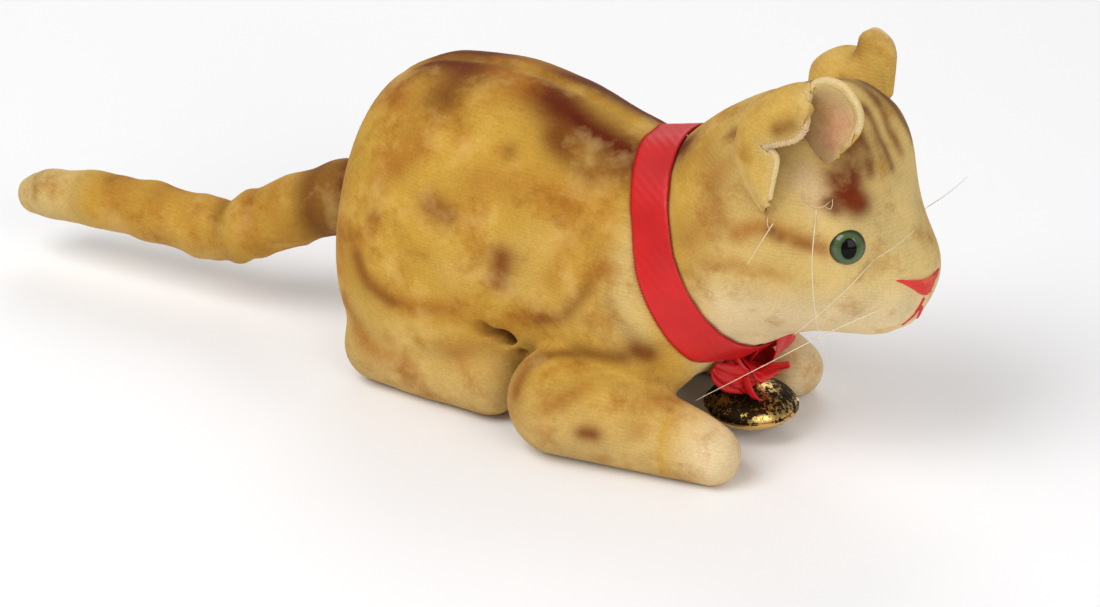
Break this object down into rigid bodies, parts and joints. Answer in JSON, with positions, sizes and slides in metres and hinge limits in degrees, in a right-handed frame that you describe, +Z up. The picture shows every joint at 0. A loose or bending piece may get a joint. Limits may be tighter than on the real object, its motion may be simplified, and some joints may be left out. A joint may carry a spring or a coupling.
{
  "type": "plush cat",
  "caption": "Small stuffed velvet cat lying with its forelegs stretched out, with a sewn tail, glass eyes, a satin ribbon collar and a swinging brass bell.",
  "frame": {"origin": "on the floor under the middle of the toy's bounding box, tail included", "axes": "+X is the way the cat faces, +Y its left, +Z up"},
  "size_m": [0.1524, 0.0472, 0.0618],
  "materials": {
    "velvet_golden": "short velvet pile, airbrushed tabby",
    "velvet_cream": "short velvet pile",
    "stuffing": "wood wool and cotton",
    "lining": "plain woven cloth",
    "thread_pale": "linen thread",
    "thread_red": "red embroidery silk",
    "eye_green_glass": "polished, painted green behind",
    "pupil_black": "polished black glass",
    "steel_wire": "drawn wire",
    "bristle": "clear stiff bristle",
    "ribbon_red": "ribbed satin",
    "bell_brass": "pressed brass, lacquer blackened in places"
  },
  "bodies": {
    "cat": {"bell_link": "bell_brass", "belly_gusset": "bell_brass", "body_side_left": "velvet_golden", "body_side_right": "velvet_golden", "body_stuffing": "stuffing", "ear_lining_left": "lining", "ear_lining_right": "lining", "ear_outer_left": "velvet_golden", "ear_outer_right": "velvet_golden", "eye_glass_left": "eye_green_glass", "eye_glass_right": "eye_green_glass", "eye_pupil_left": "pupil_black", "eye_pupil_right": "pupil_black", "eye_shank_left": "steel_wire", "eye_shank_right": "steel_wire", "foreleg_stuffing_left": "stuffing", "foreleg_stuffing_right": "stuffing", "foreleg_velvet_left": "velvet_golden", "foreleg_velvet_right": "velvet_golden", "head_side_left": "velvet_golden", "head_side_right": "velvet_golden", "head_stuffing": "stuffing", "hind_foot_stuffing_left": "stuffing", "hind_foot_stuffing_right": "stuffing", "hind_foot_velvet_left": "velvet_golden", "hind_foot_velvet_right": "velvet_golden", "mouth_stitching": "thread_red", "nose_stitching": "thread_red", "ribbon_collar": "ribbon_red", "ribbon_end_left": "ribbon_red", "ribbon_end_right": "ribbon_red", "ribbon_knot": "ribbon_red", "ribbon_loop_left": "ribbon_red", "ribbon_loop_right": "ribbon_red", "spine_seam": "thread_pale", "throat_gusset": "velvet_cream", "whiskers_left": "bristle", "whiskers_right": "bristle"},
    "tail": {"tail_velvet": "velvet_golden", "tail_stuffing": "stuffing", "tail_wire": "steel_wire"},
    "bell": {"bell_upper_shell": "bell_brass", "bell_lower_shell": "bell_brass", "bell_loop": "bell_brass"},
    "pellet": {"bell_pellet": "bell_brass"}
  },
  "joints": [
    {"name": "tail_swing", "type": "hinge", "parent": "cat", "child": "tail", "pos_m": [-0.0105, 0, 0.024], "axis": [0, 0, 1], "range_deg": [-25, 25]},
    {"name": "bell_swing", "type": "hinge", "parent": "cat", "child": "bell", "pos_m": [0.0505, -0.0005, 0.00841], "axis": [0, 1, 0], "range_deg": [-20, 15]},
    {"name": "pellet_roll", "type": "slide", "parent": "bell", "child": "pellet", "axis": [1, 0, 0], "range_m": [-0.0015, 0.0015]}
  ]
}
